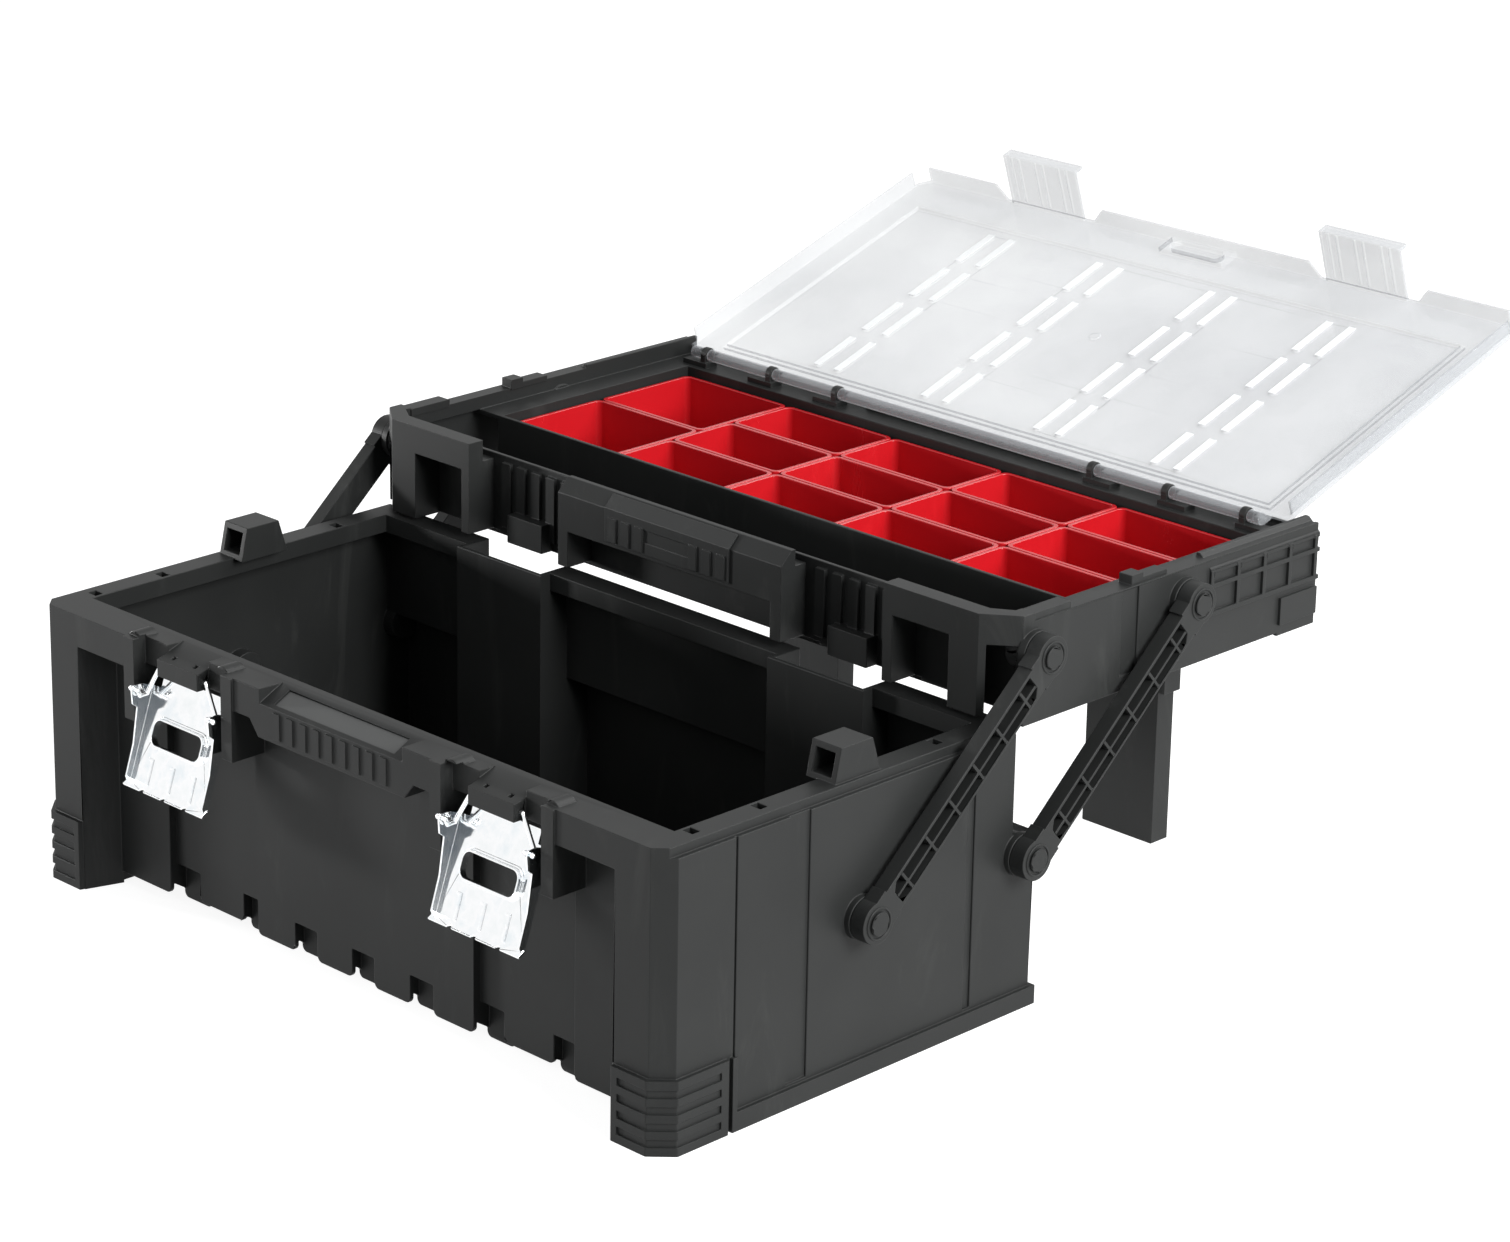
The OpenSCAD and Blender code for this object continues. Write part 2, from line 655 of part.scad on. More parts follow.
module lid_flat() {
    pan_x = 240;
    pan_y = [20, 225];
    tab_x = [latch_x - 33.5, latch_x + 33.5];
    tab_y = [lid_len - 4.5, lid_len - 2];
    tab_top = hinge_z - 207;
    difference() {
        upright(plate_n)
            polygon([[-lid_half, 9], [lid_half, 9], [lid_half, lid_len - 8], [lid_half - 8, lid_len],
                     [8 - lid_half, lid_len], [-lid_half, lid_len - 8]]);
        span([-pan_x, pan_x], pan_y, [-6, 0]);
    }
    difference() {
        span([-pan_x - 2, pan_x + 2], [pan_y[0] - 2, pan_y[1] + 2], [pan_n, plate_n[1]]);
        span([-pan_x, pan_x], pan_y, [pan_n + 2.1, 0]);
    }
    // Stiffening dashes in pairs
    for (x = [-150, -50, 50, 150], dx = [-9.5, 9.5], i = [0 : 3])
        soft_block([x + dx - 3.2, x + dx + 3.2], [26 + i * 50, 66 + i * 50], [pan_n + 1, pan_n + 3.6], 3.1);
    translate([0, 137, pan_n + 1]) cylinder(r = 4, h = 2);
    // Skirt
    for (s = [-1, 1]) {
        span(s > 0 ? [lid_half - 2, lid_half] : [-lid_half, 2 - lid_half], [14, lid_len - 12], [-4, 8]);
        along_y([lid_len - 2, lid_len])
            polygon([[s * (tab_x[1] + 6), -4], [s * (tab_x[1] + 16), 8], [s * (lid_half - 8), 8],
                     [s * (lid_half - 8), -4]]);
    }
    along_y([lid_len - 2, lid_len])
        polygon([[-tab_x[0] + 6, -4], [-tab_x[0] + 16, 8], [tab_x[0] - 16, 8], [tab_x[0] - 6, -4]]);
    // Thumb frame in the middle of the front edge
    difference() {
        span([-28, 28], [lid_len - 18, lid_len - 1], [-4, 1]);
        soft_block([-22, 22], [lid_len - 15, lid_len - 4], [-3, 2], 5);
    }
    both_sides() {
        // Latch tab with its ribs and outward lip
        span(tab_x, tab_y, [-4, tab_top]);
        span(tab_x, [tab_y[0], lid_len + 4.5], [tab_top - 2.5, tab_top]);
        for (x = [-22, 0, 22], dx = [-3.5, 3.5])
            span([latch_x + x + dx - 1, latch_x + x + dx + 1], [tab_y[0] - 0.8, tab_y[0] + 1],
                 [2, tab_top]);
        // Hinge: pins in the hooks, barrels and webs between them
        bar_x([hooks_x[0] - 4, hooks_x[2] + hook_w + 4], 0, 0, 3);
        for (i = [0 : 2]) {
            x = [hooks_x[i] + hook_w + 0.5, i < 2 ? hooks_x[i + 1] - 0.5 : 251];
            bar_x(x, 0, 0, 4.2);
            span(x, [0, 10], plate_n);
        }
    }
    bar_x([0.5 - hooks_x[0], hooks_x[0] - 0.5], 0, 0, 4.2);
    span([0.5 - hooks_x[0], hooks_x[0] - 0.5], [0, 10], plate_n);
}

module lid()
    color(clear) place() translate([0, hinge_y, hinge_z]) rotate([lid_angle, 0, 0]) lid_flat();

base_tub();
front_plate();
base_pivot_pins();
latch_wire_left();
latch_wire_right();
latch_lever_left();
latch_lever_right();
arm_front_left();
arm_front_right();
arm_rear_left();
arm_rear_right();
tray_shell();
carry_handle();
handle_grip();
tray_pivot_pins();
leg_left();
leg_right();
lid();
bin(1, 0, 2);  // bin_1_front
bin(1, 1, 2);  // bin_1_rear
bin(2, 0, 3);  // bin_2_front
bin(2, 1, 3);  // bin_2_middle
bin(2, 2, 3);  // bin_2_rear
bin(3, 0, 3);  // bin_3_front
bin(3, 1, 3);  // bin_3_middle
bin(3, 2, 3);  // bin_3_rear
bin(4, 0, 3);  // bin_4_front
bin(4, 1, 3);  // bin_4_middle
bin(4, 2, 3);  // bin_4_rear
bin(5, 0, 3);  // bin_5_front
bin(5, 1, 3);  // bin_5_middle
bin(5, 2, 3);  // bin_5_rear
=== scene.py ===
# %% [markdown]
# # A cantilever tool box
# A deep tub of black polypropylene carries a lift-over tray on four parallel arms. The tray holds
# red bins under a clear lid, and two draw latches of zinc-plated steel close the box. The packed
# CAD model gives every piece's place and size. This notebook gives the pieces their rounded edges,
# their small moulded details and their finishes.

# %% Load the frame
import json
from math import cos, radians, sin

import bmesh
import bpy
from mathutils import Matrix, Vector
from mathutils.bvhtree import BVHTree


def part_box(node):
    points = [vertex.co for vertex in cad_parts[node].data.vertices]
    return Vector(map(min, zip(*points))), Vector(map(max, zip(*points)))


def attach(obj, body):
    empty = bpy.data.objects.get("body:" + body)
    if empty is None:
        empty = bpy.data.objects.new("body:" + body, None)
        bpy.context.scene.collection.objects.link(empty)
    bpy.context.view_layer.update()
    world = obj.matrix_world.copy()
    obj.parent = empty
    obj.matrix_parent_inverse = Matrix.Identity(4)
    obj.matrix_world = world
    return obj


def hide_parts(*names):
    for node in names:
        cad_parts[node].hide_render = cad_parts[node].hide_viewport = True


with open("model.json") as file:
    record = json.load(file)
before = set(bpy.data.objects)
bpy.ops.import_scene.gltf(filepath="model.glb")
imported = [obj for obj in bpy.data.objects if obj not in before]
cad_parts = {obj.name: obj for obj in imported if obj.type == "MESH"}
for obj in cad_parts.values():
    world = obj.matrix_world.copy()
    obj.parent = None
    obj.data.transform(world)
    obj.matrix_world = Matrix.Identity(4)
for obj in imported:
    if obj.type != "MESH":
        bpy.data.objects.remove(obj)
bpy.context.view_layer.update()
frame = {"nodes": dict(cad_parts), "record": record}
nodes = frame["nodes"]
scene = bpy.context.scene
MM = 0.001

# %% [markdown]
# ## Camera
# A long lens well away from the box keeps its edges nearly parallel. The camera is given by its
# heading, its height angle and its roll, and by how far it stands from the box's front edge along
# its own three axes. Those axes are the columns of its matrix. The lens is shifted, so that the
# box stands off the middle of the picture without leaning.

# %% Camera
HEADING = radians(45.26)
HEIGHT_ANGLE = radians(18.05)
ROLL = radians(0.72)
STAND_OFF_RIGHT, STAND_OFF_UP, STAND_OFF_BACK = 0.20554, 0.31115, 2.70518
BASE_DEPTH = 0.310
SENSOR = 36.0
PICTURE_WIDTH = 1510
FOCAL_PX = 4538.3
LENS_SHIFT = (0.0512, -0.0905)

back = Vector((sin(HEADING) * cos(HEIGHT_ANGLE), -cos(HEADING) * cos(HEIGHT_ANGLE), sin(HEIGHT_ANGLE)))
level = Vector((cos(HEADING), sin(HEADING), 0))
right = cos(ROLL) * level + sin(ROLL) * back.cross(level)
up = back.cross(right)
front_edge = Vector((0, -BASE_DEPTH / 2, 0))
place = front_edge + right * STAND_OFF_RIGHT + up * STAND_OFF_UP + back * STAND_OFF_BACK

lens = bpy.data.cameras.new("camera")
lens.lens = FOCAL_PX / PICTURE_WIDTH * SENSOR
lens.sensor_width = SENSOR
lens.shift_x, lens.shift_y = LENS_SHIFT
camera = bpy.data.objects.new("camera", lens)
camera.matrix_world = Matrix.Translation(place) @ Matrix((right, up, back)).transposed().to_4x4()
scene.collection.objects.link(camera)
scene.camera = camera
print("camera at", [round(v, 3) for v in place], "lens", round(lens.lens, 1), "mm")

# %% [markdown]
# ## Colour and node helpers
# A hex colour is written as the eye sees it, so it is turned to linear light once, here.
# The one node helper makes a node, sets its settings and input values, and links its inputs.

# %% Helpers for materials
def colour(hex_code):
    """The linear colour, with full alpha, of an sRGB hex code."""
    parts = [int(hex_code[i:i + 2], 16) / 255 for i in (1, 3, 5)]
    linear = [c / 12.92 if c <= 0.04045 else ((c + 0.055) / 1.055) ** 2.4 for c in parts]
    return (*linear, 1.0)


def add(tree, kind, inputs=None, **settings):
    """A node of a kind. Inputs maps a socket's name or number to a value or to another node's socket."""
    node = tree.nodes.new(kind)
    for name, value in settings.items():
        setattr(node, name, value)
    for key, value in (inputs or {}).items():
        socket = node.inputs[key]
        if isinstance(value, bpy.types.NodeSocket):
            tree.links.new(value, socket)
        else:
            socket.default_value = value
    return node


def new_material(name):
    material = bpy.data.materials.new(name)
    material.use_nodes = True
    material.node_tree.nodes.clear()
    return material, material.node_tree


def ramp(tree, factor, stops):
    """A colour ramp through (position, hex colour) stops."""
    node = add(tree, "ShaderNodeValToRGB", {"Fac": factor})
    elements = node.color_ramp.elements
    while len(elements) < len(stops):
        elements.new(0.5)
    for element, (position, hex_code) in zip(elements, stops):
        element.position = position
        element.color = colour(hex_code)
    return node.outputs["Color"]


print("mid grey in linear light:", [round(c, 3) for c in colour("#808080")])

# %% [markdown]
# ## Floor and backdrop
# The box stands in a white studio on a pale floor. What the camera, the metal and the clear lid see
# beyond it is plain white, and the light on the box itself is lower. The floor keeps a trace of
# the shadow under the box. A dark flag beside the camera gives the bright metal something to
# mirror; only glossy rays see it.

# %% Floor and backdrop
WHITE = (1, 1, 1, 1)


def studio_rays(tree):
    """One for the rays that show the backdrop: the camera's, and those off metal or through the lid."""
    path = add(tree, "ShaderNodeLightPath")
    plain = add(tree, "ShaderNodeMath", {0: path.outputs["Is Camera Ray"], 1: path.outputs["Is Glossy Ray"]},
                operation="MAXIMUM")
    return add(tree, "ShaderNodeMath", {0: plain.outputs[0], 1: path.outputs["Is Transmission Ray"]},
               operation="MAXIMUM")


def studio_world():
    world = bpy.data.worlds.new("studio")
    world.use_nodes = True
    tree = world.node_tree
    tree.nodes.clear()
    seen = studio_rays(tree)
    soft = add(tree, "ShaderNodeBackground", {"Color": colour("#f4f6f8"), "Strength": 0.23})
    white = add(tree, "ShaderNodeBackground", {"Color": WHITE, "Strength": 1.0})
    mix = add(tree, "ShaderNodeMixShader", {0: seen.outputs[0], 1: soft.outputs[0], 2: white.outputs[0]})
    add(tree, "ShaderNodeOutputWorld", {"Surface": mix.outputs[0]})
    return world


def floor_material():
    """Pale for the light that falls on the box; for the eye, a white glow with a trace of shadow."""
    material, tree = new_material("studio_floor")
    seen = studio_rays(tree)
    matt = add(tree, "ShaderNodeBsdfDiffuse", {"Color": colour("#dedede")})
    trace = add(tree, "ShaderNodeBsdfDiffuse", {"Color": colour("#a0a0a0")})
    glow = add(tree, "ShaderNodeEmission", {"Color": WHITE, "Strength": 0.9})
    both = add(tree, "ShaderNodeAddShader", {0: trace.outputs[0], 1: glow.outputs[0]})
    mix = add(tree, "ShaderNodeMixShader", {0: seen.outputs[0], 1: matt.outputs[0], 2: both.outputs[0]})
    add(tree, "ShaderNodeOutputMaterial", {"Surface": mix.outputs[0]})
    return material


def flag_material():
    material, tree = new_material("studio_black_flag")
    cloth = add(tree, "ShaderNodeEmission", {"Color": colour("#36414a"), "Strength": 1.0})
    add(tree, "ShaderNodeOutputMaterial", {"Surface": cloth.outputs[0]})
    return material


def stage_card(name, corners, material):
    """A flat card of the studio, which isn't part of the box."""
    mesh = bpy.data.meshes.new(name)
    mesh.from_pydata(corners, [], [(0, 1, 2, 3)])
    mesh.materials.append(material)
    card = bpy.data.objects.new(name, mesh)
    scene.collection.objects.link(card)
    return card


FLOOR_HALF = 14.0
stage_card("floor", [(-FLOOR_HALF, -FLOOR_HALF, 0), (FLOOR_HALF, -FLOOR_HALF, 0),
                     (FLOOR_HALF, FLOOR_HALF, 0), (-FLOOR_HALF, FLOOR_HALF, 0)], floor_material())

FLAG_HALF, FLAG_LOW, FLAG_HIGH = 0.75, 0.25, 1.35
flag_middle = Vector((2.25, -2.35, 0))
flag = stage_card("black_flag", [flag_middle + level * side + Vector((0, 0, z))
                                 for side, z in ((-FLAG_HALF, FLAG_LOW), (FLAG_HALF, FLAG_LOW),
                                                 (FLAG_HALF, FLAG_HIGH), (-FLAG_HALF, FLAG_HIGH))],
                  flag_material())
flag.visible_camera = False
flag.visible_diffuse = False
flag.visible_transmission = False
flag.visible_shadow = False
scene.world = studio_world()
scene.view_settings.view_transform = "Standard"
print("studio:", scene.world.name, "with a floor and", flag.name)

# %% [markdown]
# ## Light
# A small bright lamp far to the left, level with the box, grazes its front and throws the crisp
# shadows beside the posts and latches. A wide soft box on the right lights the right-hand side,
# another above the front fills the rest, and one behind lights the top edges. That last one stands
# where the open lid doesn't mirror it into the camera.

# %% Lamps
def soft_box(name, position, target, size, watts):
    """An area lamp of a width and height that faces its target."""
    lamp = bpy.data.lights.new(name, "AREA")
    lamp.shape = "RECTANGLE"
    lamp.size, lamp.size_y = size
    lamp.energy = watts
    lamp_object = bpy.data.objects.new(name, lamp)
    aim = (Vector(target) - Vector(position)).to_track_quat("-Z", "Y")
    lamp_object.matrix_world = Matrix.Translation(position) @ aim.to_matrix().to_4x4()
    scene.collection.objects.link(lamp_object)


MIDDLE = (0, 0.1, 0.15)
soft_box("graze_left", (-2.6, -0.92, 0.35), MIDDLE, size=(0.3, 0.3), watts=76)
soft_box("key_right", (2.6, 0.1, 1.5), MIDDLE, size=(1.4, 1.4), watts=134)
soft_box("fill_front", (-0.6, -2.8, 2.0), MIDDLE, size=(1.8, 1.4), watts=9)
soft_box("top_rear", (0.7, 1.9, 2.2), MIDDLE, size=(2.2, 1.4), watts=62)

# %% [markdown]
# ## Moulded polypropylene
# The tub, tray, arms and legs are injection-moulded polypropylene. Their mould was spark-eroded,
# which leaves a fine even grain, so the plastic shines softly and shows broad pale highlights.
# Handling leaves faint paler scuffs. The grain of a real part is about 0.2 mm; it is drawn at
# 0.7 mm, because finer grain would not show. The bins are the same plastic in red, from a smoother
# mould.

# %% Moulded polypropylene
GRAIN = 0.7 * MM
GRAIN_RISE = 0.08 * MM
CLOUD = 90 * MM
CLOUD_SHARE = 0.35
SCUFF = 60 * MM
SCUFF_TILT = (0.3, 0.5, 0.2)
SCUFF_STRETCH = (1.0, 1.0, 0.22)


def moulded_plastic(name, dark, pale, roughness, grain_depth, scuffs=0.5, specular=0.5):
    """A moulded plastic: two tones mixed by scuffs and clouds, and a bump of mould grain."""
    material, tree = new_material(name)
    where = add(tree, "ShaderNodeTexCoord").outputs["Object"]
    cloud = add(tree, "ShaderNodeTexNoise", {"Vector": where, "Scale": 1 / CLOUD, "Detail": 3.0})
    stretch = add(tree, "ShaderNodeMapping", {"Vector": where, "Rotation": SCUFF_TILT,
                                              "Scale": SCUFF_STRETCH})
    streak = add(tree, "ShaderNodeTexNoise", {"Vector": stretch.outputs[0], "Scale": 1 / SCUFF,
                                              "Detail": 9.0, "Roughness": 0.72, "Distortion": 1.4})
    thin = add(tree, "ShaderNodeMapRange", {"Value": streak.outputs["Fac"], "From Min": 0.56,
                                            "From Max": 0.78, "To Max": scuffs})
    blend = add(tree, "ShaderNodeMath", {0: cloud.outputs["Fac"], 1: CLOUD_SHARE, 2: thin.outputs[0]},
                operation="MULTIPLY_ADD", use_clamp=True)
    tone = ramp(tree, blend.outputs[0], [(0.0, dark), (1.0, pale)])
    sheen = add(tree, "ShaderNodeMapRange", {"Value": blend.outputs[0], "To Min": roughness - 0.05,
                                             "To Max": roughness + 0.14})
    grain = add(tree, "ShaderNodeTexNoise", {"Vector": where, "Scale": 1 / GRAIN, "Detail": 2.0})
    bump = add(tree, "ShaderNodeBump", {"Height": grain.outputs["Fac"], "Strength": grain_depth,
                                        "Distance": GRAIN_RISE})
    shader = add(tree, "ShaderNodeBsdfPrincipled", {
        "Base Color": tone, "Roughness": sheen.outputs[0], "IOR": 1.49,
        "Specular IOR Level": specular, "Normal": bump.outputs[0]})
    add(tree, "ShaderNodeOutputMaterial", {"Surface": shader.outputs[0]})
    return material


black_pp = moulded_plastic("black_polypropylene_spark_eroded", "#1a1b1b", "#393a39", roughness=0.46,
                           grain_depth=0.5, specular=0.16)
grip_pp = moulded_plastic("black_polypropylene_grip", "#1f2020", "#424342", roughness=0.40,
                          grain_depth=0.25, specular=0.25)
plate_grey = moulded_plastic("grey_plate_smooth", "#3f4040", "#5c5d5c", roughness=0.38,
                             grain_depth=0.12, scuffs=0.2, specular=0.3)
red_pp = moulded_plastic("red_polypropylene_semi_gloss", "#a50f17", "#c8262c", roughness=0.27,
                         grain_depth=0.1, scuffs=0.25)
print("plastics:", [m.name for m in (black_pp, grip_pp, plate_grey, red_pp)])

# %% [markdown]
# ## Clear polycarbonate
# The lid is moulded in clear polycarbonate, polished but for a trace of haze. Its walls are thin, so
# what lies behind shows straight through. Seen flat on, the haze greys it a little; seen edge on, it
# hides more, and its colour turns white, a painted reflection of the white studio. The haze is cloudy,
# and the lid hides more, so looks greyer, from its left end to its right.

# %% Clear polycarbonate
HAZE = 120 * MM
RIGHTWARD_HIDING_REACH = 0.26


def clear_plastic(name, thin, thick, greys_then_painted_reflection):
    """Thin is how much it hides when seen flat on, thick when seen edge on. The greys run from flat on to
    edge on, where their white is a painted reflection.
    """
    material, tree = new_material(name)
    where = add(tree, "ShaderNodeTexCoord").outputs["Object"]
    haze = add(tree, "ShaderNodeTexNoise", {"Vector": where, "Scale": 1 / HAZE, "Detail": 3.0})
    rough = add(tree, "ShaderNodeMapRange", {"Value": haze.outputs["Fac"], "To Min": 0.06, "To Max": 0.18})
    slant = add(tree, "ShaderNodeLayerWeight", {"Blend": 0.35})
    veil = add(tree, "ShaderNodeMapRange", {"Value": slant.outputs["Facing"], "From Min": 0.1,
                                            "To Min": thin, "To Max": thick})
    cloud = add(tree, "ShaderNodeMapRange", {"Value": haze.outputs["Fac"], "From Min": 0.3,
                                             "From Max": 0.7, "To Min": 0.86, "To Max": 1.12})
    solid = add(tree, "ShaderNodeMath", {0: veil.outputs[0], 1: cloud.outputs[0]}, operation="MULTIPLY",
                use_clamp=True)
    across = add(tree, "ShaderNodeSeparateXYZ", {0: where})
    # The lid hides more, and so looks greyer, from its left end to its right.
    side = add(tree, "ShaderNodeMapRange", {"Value": across.outputs["X"], "From Min": -RIGHTWARD_HIDING_REACH,
                                            "From Max": RIGHTWARD_HIDING_REACH, "To Min": 0.9, "To Max": 1.25})
    veiled = add(tree, "ShaderNodeMath", {0: solid.outputs[0], 1: side.outputs[0]}, operation="MULTIPLY",
                 use_clamp=True)
    # Painted reflection: the colour turns white as the surface turns edge on.
    tone = ramp(tree, slant.outputs["Facing"], greys_then_painted_reflection)
    shader = add(tree, "ShaderNodeBsdfPrincipled", {
        "Base Color": tone, "Roughness": rough.outputs[0], "IOR": 1.58,
        "Alpha": veiled.outputs[0], "Specular IOR Level": 0.3})
    add(tree, "ShaderNodeOutputMaterial", {"Surface": shader.outputs[0]})
    return material


clear_pc = clear_plastic("clear_polycarbonate_polished", thin=0.22, thick=0.72,
                         greys_then_painted_reflection=[(0.3, "#94979a"), (0.6, "#c0c3c6"), (0.85, "#f4f6f8")])
# Painted highlight: the dashes' near-white colour stands in for the light they catch.
dash_highlight_pc = clear_plastic("clear_polycarbonate_ribs_painted_highlight", thin=0.38, thick=0.85,
                        greys_then_painted_reflection=[(0.3, "#f4f6f7"), (0.8, "#ffffff")])
print("clear plastics:", clear_pc.name, dash_highlight_pc.name)

# %% [markdown]
# ## Zinc-plated steel
# The latches are pressed from sheet and bent from wire, then plated with bright zinc. The plating
# mirrors the white studio, with a cool cast and slight clouds where its clear passivation varies.
# The rolled sheet keeps a faint grain along the box.

# %% Zinc-plated steel
PASSIVATION_CLOUD = 12 * MM
ROLLED_GRAIN = 0.8 * MM
ROLLED_RISE = 0.05 * MM
ROLLED_STRETCH = (0.08, 1.0, 1.0)


def zinc_plating():
    material, tree = new_material("zinc_plated_steel_bright")
    where = add(tree, "ShaderNodeTexCoord").outputs["Object"]
    cloud = add(tree, "ShaderNodeTexNoise", {"Vector": where, "Scale": 1 / PASSIVATION_CLOUD,
                                             "Detail": 3.0})
    tint = ramp(tree, cloud.outputs["Fac"], [(0.3, "#eef3f6"), (0.5, "#fafbfc"), (0.72, "#f2f5f6")])
    rough = add(tree, "ShaderNodeMapRange", {"Value": cloud.outputs["Fac"], "To Min": 0.08, "To Max": 0.14})
    stretch = add(tree, "ShaderNodeMapping", {"Vector": where, "Scale": ROLLED_STRETCH})
    rolled = add(tree, "ShaderNodeTexNoise", {"Vector": stretch.outputs[0], "Scale": 1 / ROLLED_GRAIN})
    bump = add(tree, "ShaderNodeBump", {"Height": rolled.outputs["Fac"], "Strength": 0.05,
                                        "Distance": ROLLED_RISE})
    shader = add(tree, "ShaderNodeBsdfPrincipled", {
        "Base Color": tint, "Metallic": 1.0, "Roughness": rough.outputs[0], "Normal": bump.outputs[0]})
    add(tree, "ShaderNodeOutputMaterial", {"Surface": shader.outputs[0]})
    return material


zinc = zinc_plating()
print("metal:", zinc.name)

# %% [markdown]
# ## Rounded edges
# A mould can't hold a sharp edge, and the soft highlight along each edge is what makes plastic look
# moulded. Each CAD node is therefore copied, the triangles of its mesh are joined at their corners,
# and a Bevel modifier rounds every edge that turns by more than a round surface's facets do. The
# Weighted Normal modifier then keeps the light even over the flat faces. In a few places the bevel
# throws a corner off the solid, and such a corner is put back on it.

# %% Rounded copies of the CAD nodes
FACET_TURN = radians(28)
JOIN_WITHIN = 2e-6
EDGE_SEGMENTS = 2
STRAY_EDGES = 1.5


def finish_piece(piece):
    """Applies a piece's modifiers, so that its mesh is the finished one."""
    depsgraph = bpy.context.evaluated_depsgraph_get()
    baked = bpy.data.meshes.new_from_object(piece.evaluated_get(depsgraph))
    piece.modifiers.clear()
    piece.data = baked


def joined_copy(node, material):
    """A node's mesh in one material, with its triangles joined at their corners."""
    mesh = nodes[node].data.copy()
    work = bmesh.new()
    work.from_mesh(mesh)
    bmesh.ops.remove_doubles(work, verts=work.verts, dist=JOIN_WITHIN)
    work.to_mesh(mesh)
    work.free()
    mesh.materials.clear()
    mesh.materials.append(material)
    for face in mesh.polygons:
        face.use_smooth = True
    return mesh


def recall_strays(piece, solid, limit):
    """Puts every corner that lies farther than the limit from the solid back on it. Gives their count."""
    strays = 0
    for vertex in piece.data.vertices:
        spot, _, _, gap = solid.find_nearest(vertex.co)
        if gap > limit:
            vertex.co = spot
            strays += 1
    return strays


def rounded_copy(node, material, edge):
    mesh = joined_copy(node, material)
    corners = [vertex.co.copy() for vertex in mesh.vertices]
    solid = BVHTree.FromPolygons(corners, [face.vertices[:] for face in mesh.polygons])
    piece = bpy.data.objects.new(node + "_rounded", mesh)
    scene.collection.objects.link(piece)
    bevel = piece.modifiers.new("rounded edges", "BEVEL")
    bevel.width = edge
    bevel.segments = EDGE_SEGMENTS
    bevel.angle_limit = FACET_TURN
    bevel.use_clamp_overlap = False
    bevel.face_strength_mode = "FSTR_ALL"
    flat = piece.modifiers.new("flat faces stay flat", "WEIGHTED_NORMAL")
    flat.mode = "FACE_AREA"
    flat.use_face_influence = True
    finish_piece(piece)
    strays = recall_strays(piece, solid, STRAY_EDGES * edge)
    print(piece.name, "faces:", len(piece.data.polygons), "strays:", strays)
    return piece


def dress(node, material, edge):
    """Replaces a CAD node by its rounded copy, which moves with the node's body."""
    bodies = frame["record"]["behaviour"]["bodies"]
    body = next(name for name, members in bodies.items() if node in members)
    piece = rounded_copy(node, material, edge)
    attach(piece, body)
    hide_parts(node)


# %% Dress every node
SHELL_EDGE = 0.6 * MM
ARM_EDGE = 0.5 * MM
PIN_EDGE = 0.6 * MM
BIN_EDGE = 0.5 * MM
SHEET_EDGE = 0.25 * MM
FINE_EDGE = 0.4 * MM

for name in ("base_tub", "tray_shell", "carry_handle", "leg_left", "leg_right"):
    dress(name, black_pp, SHELL_EDGE)
for name in nodes:
    if name.startswith("arm_"):
        dress(name, black_pp, ARM_EDGE)
    if name.endswith("_pins"):
        dress(name, black_pp, PIN_EDGE)
    if name.startswith("bin_"):
        dress(name, red_pp, BIN_EDGE)
    if name.startswith("latch_"):
        dress(name, zinc, SHEET_EDGE)
dress("front_plate", plate_grey, FINE_EDGE)
dress("handle_grip", grip_pp, FINE_EDGE)
dress("lid", clear_pc, FINE_EDGE)

# %% [markdown]
# ## Repeated small details
# Three Geometry Nodes trees make what repeats. One lays a row of ribs along a line, one sets a
# round moulded bead on every vertex of a small mesh, and one sets a thin bar there. Each result is
# baked to a plain mesh.

# %% Geometry Nodes helpers
def new_tree(name, inputs):
    """A geometry tree with named inputs. Gives the tree, its inputs' identifiers and its input node."""
    tree = bpy.data.node_groups.new(name, "GeometryNodeTree")
    tree.interface.new_socket("Geometry", in_out="INPUT", socket_type="NodeSocketGeometry")
    names = {}
    for label, kind in inputs.items():
        names[label] = tree.interface.new_socket(label, in_out="INPUT", socket_type=kind).identifier
    tree.interface.new_socket("Geometry", in_out="OUTPUT", socket_type="NodeSocketGeometry")
    return tree, names, add(tree, "NodeGroupInput")


def end_tree(tree, geometry, material):
    real = add(tree, "GeometryNodeRealizeInstances", {"Geometry": geometry})
    painted = add(tree, "GeometryNodeSetMaterial", {"Geometry": real.outputs[0], "Material": material})
    add(tree, "NodeGroupOutput", {0: painted.outputs[0]})


def grow(name, tree, names, values, points, body):
    """Runs a tree on an object whose vertices are the points, bakes it and hands it to a body."""
    mesh = bpy.data.meshes.new(name)
    mesh.from_pydata(points, [], [])
    piece = bpy.data.objects.new(name, mesh)
    modifier = piece.modifiers.new("grow", "NODES")
    modifier.node_group = tree
    for label, value in values.items():
        modifier[names[label]] = value
    scene.collection.objects.link(piece)
    finish_piece(piece)
    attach(piece, body)
    print(name, "faces:", len(piece.data.polygons))


# %% Trees for ribs, rings and bars
RING_SIDES = 40
BEAD_SIDES = 8


def rib_row_tree(material):
    """A row of ribs of one size, a step apart, from every point."""
    tree, names, given = new_tree("rib_row", {"Count": "NodeSocketInt", "Step": "NodeSocketVector",
                                              "Rib size": "NodeSocketVector"})
    line = add(tree, "GeometryNodeMeshLine", {"Count": given.outputs["Count"],
                                              "Offset": given.outputs["Step"]})
    rib = add(tree, "GeometryNodeMeshCube", {"Size": given.outputs["Rib size"]})
    row = add(tree, "GeometryNodeInstanceOnPoints", {"Points": line.outputs[0],
                                                     "Instance": rib.outputs["Mesh"]})
    rows = add(tree, "GeometryNodeInstanceOnPoints", {"Points": given.outputs["Geometry"],
                                                      "Instance": row.outputs[0]})
    end_tree(tree, rows.outputs[0], material)
    return tree, names


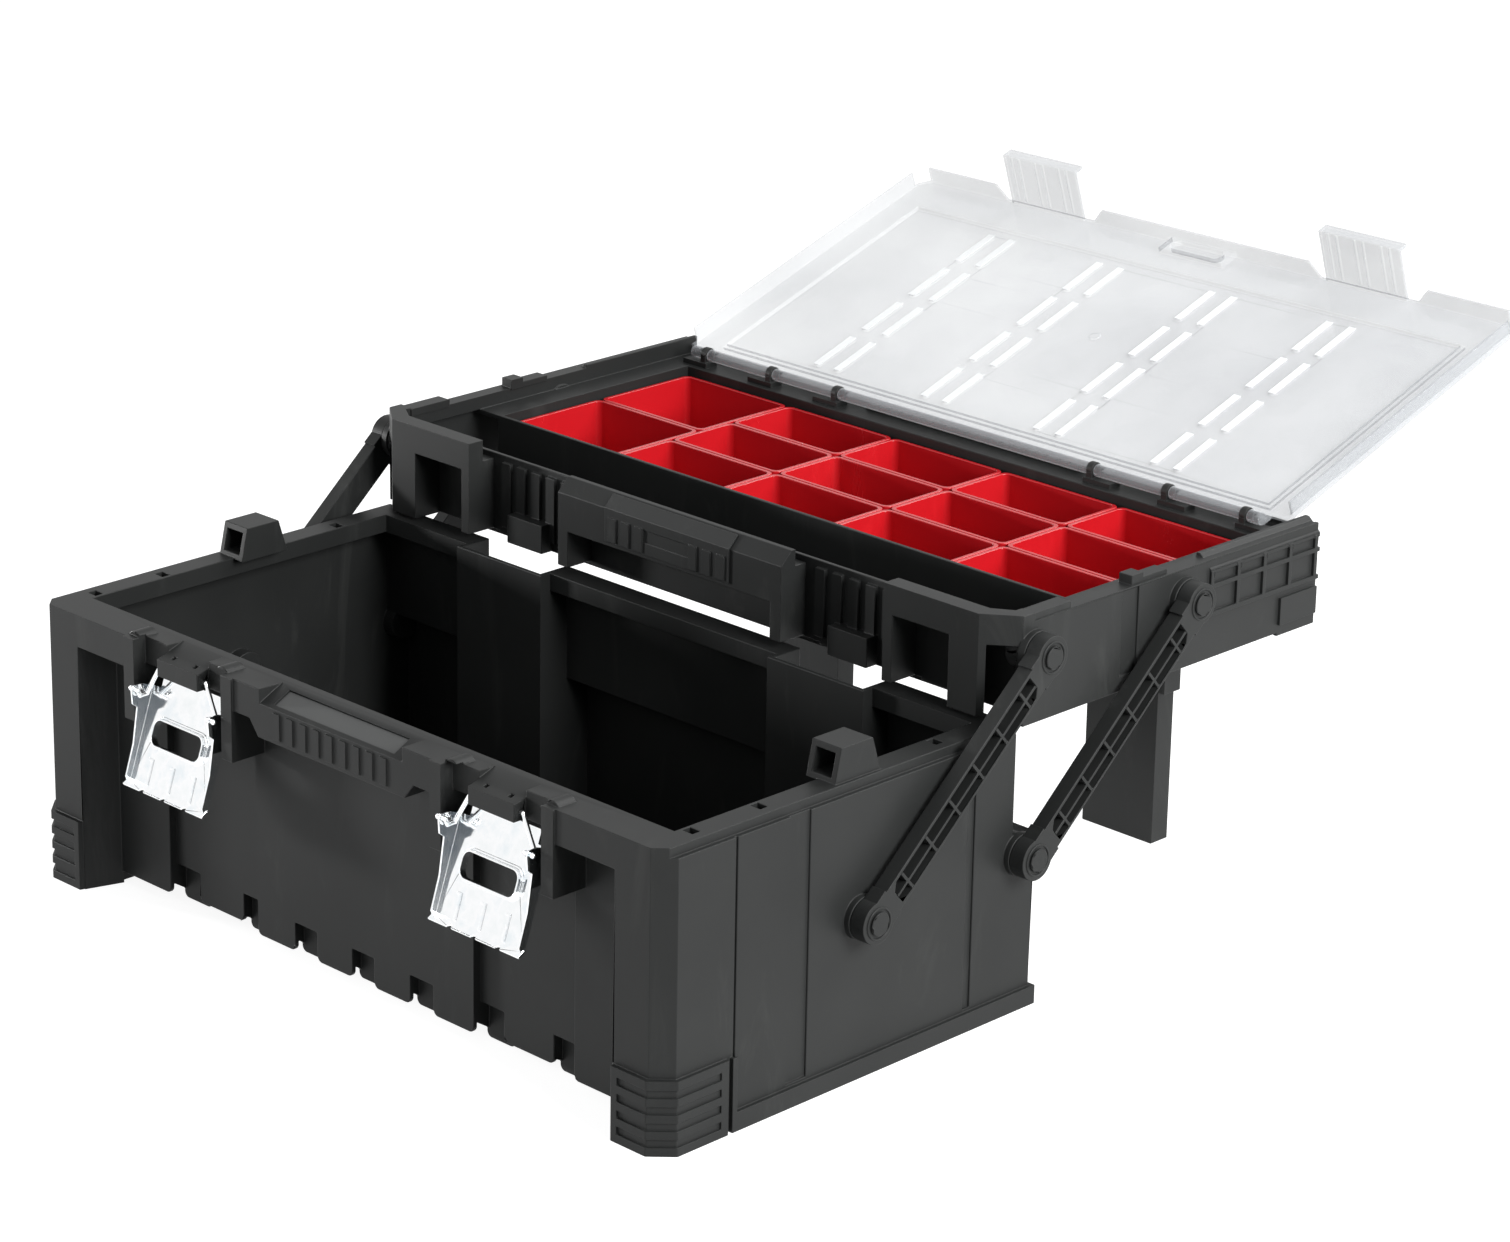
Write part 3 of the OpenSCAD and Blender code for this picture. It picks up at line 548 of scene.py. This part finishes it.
def ring_tree(material):
    """A round bead of wire radius Bead on a circle of radius Ring, turned by Turn, on every point."""
    tree, names, given = new_tree("moulded_ring", {"Ring": "NodeSocketFloat", "Bead": "NodeSocketFloat",
                                                   "Turn": "NodeSocketRotation"})
    path = add(tree, "GeometryNodeCurvePrimitiveCircle", {"Resolution": RING_SIDES,
                                                          "Radius": given.outputs["Ring"]})
    bead = add(tree, "GeometryNodeCurvePrimitiveCircle", {"Resolution": BEAD_SIDES,
                                                          "Radius": given.outputs["Bead"]})
    tube = add(tree, "GeometryNodeCurveToMesh", {"Curve": path.outputs[0], "Profile Curve": bead.outputs[0]})
    rings = add(tree, "GeometryNodeInstanceOnPoints", {"Points": given.outputs["Geometry"],
                                                       "Instance": tube.outputs[0],
                                                       "Rotation": given.outputs["Turn"]})
    end_tree(tree, rings.outputs[0], material)
    return tree, names


def bar_tree(material):
    """A thin bar of the given size and turn on every point."""
    tree, names, given = new_tree("lid_dash", {"Bar size": "NodeSocketVector",
                                               "Turn": "NodeSocketRotation"})
    bar = add(tree, "GeometryNodeMeshCube", {"Size": given.outputs["Bar size"]})
    bars = add(tree, "GeometryNodeInstanceOnPoints", {"Points": given.outputs["Geometry"],
                                                      "Instance": bar.outputs["Mesh"],
                                                      "Rotation": given.outputs["Turn"]})
    end_tree(tree, bars.outputs[0], material)
    return tree, names


ribs, rib_names = rib_row_tree(black_pp)
rings, ring_names = ring_tree(black_pp)
bars, bar_names = bar_tree(dash_highlight_pc)
print("trees:", ribs.name, rings.name, bars.name)

# %% [markdown]
# The comb in the middle of the tray's rear edge has fine teeth between its coarse ones. A bead
# rings the eye at each end of every arm, and ejector pins have left rings on the floor of the tub.

# %% Comb teeth
COMB_START = (-0.0925, 0.404, 0.2384)
COMB_TEETH = 38
COMB_STEP = (0.005, 0, 0)
TOOTH_SIZE = (0.0016, 0.0056, 0.0024)

grow("tray_comb_teeth", ribs, rib_names,
     {"Count": COMB_TEETH, "Step": COMB_STEP, "Rib size": TOOTH_SIZE},
     [COMB_START], "tray")

# %% Beads round the arms' eyes
SIDEWAYS = (0, radians(90), 0)
ARM_FACE = 0.2951
EYE_INSET = 0.013
EYE_RING = 0.0094
EYE_BEAD = 0.0007

for side, sign in (("right", 1), ("left", -1)):
    for row in ("front", "rear"):
        low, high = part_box("arm_%s_%s" % (row, side))
        ends = [(sign * ARM_FACE, low[1] + EYE_INSET, low[2] + EYE_INSET),
                (sign * ARM_FACE, high[1] - EYE_INSET, high[2] - EYE_INSET)]
        grow("arm_%s_%s_eyes" % (row, side), rings, ring_names,
             {"Ring": EYE_RING, "Bead": EYE_BEAD, "Turn": SIDEWAYS}, ends,
             "arm_%s_%s" % (row, side))

# %% Ejector marks on the tub's floor
TUB_FLOOR = 0.0031
MARK_COLUMNS = (-0.2, -0.1, 0.0, 0.1, 0.2)
MARK_ROWS = (-0.06, 0.04)
MARK_RING = 0.005
MARK_BEAD = 0.0004

grow("tub_ejector_marks", rings, ring_names, {"Ring": MARK_RING, "Bead": MARK_BEAD, "Turn": (0, 0, 0)},
     [(x, y, TUB_FLOOR) for x in MARK_COLUMNS for y in MARK_ROWS], "base")

# %% [markdown]
# The lid's stiffening dashes are slightly thicker than its sheet, so they catch more light. A thin
# bar of near-white clear plastic on each dash paints that highlight. The dashes are laid out flat in
# the lid's own frame and then turned with the lid about its hinge line.

# %% Lid dashes
LID_LEAN = radians(18.5)
DASH_SIZE = (0.0056, 0.0385, 0.0004)
DASH_TOP = -0.00375
DASH_COLUMNS = (-0.15, -0.05, 0.05, 0.15)
DASH_OFFSET = 0.0095
DASH_START = 0.046
DASH_PITCH = 0.05
DASHES_IN_LINE = 4

joints = frame["record"]["behaviour"]["joints"]
hinge = Vector(next(joint["pos_m"] for joint in joints if joint["name"] == "lid_hinge"))
lid_turn = Matrix.Translation(hinge) @ Matrix.Rotation(LID_LEAN, 4, "X")
dashes = [lid_turn @ Vector((x + side * DASH_OFFSET, DASH_START + DASH_PITCH * row, DASH_TOP))
          for x in DASH_COLUMNS for side in (-1, 1) for row in range(DASHES_IN_LINE)]
grow("lid_dash_painted_highlights", bars, bar_names, {"Bar size": DASH_SIZE, "Turn": (LID_LEAN, 0, 0)},
     dashes, "lid")
print("dashes:", len(dashes))
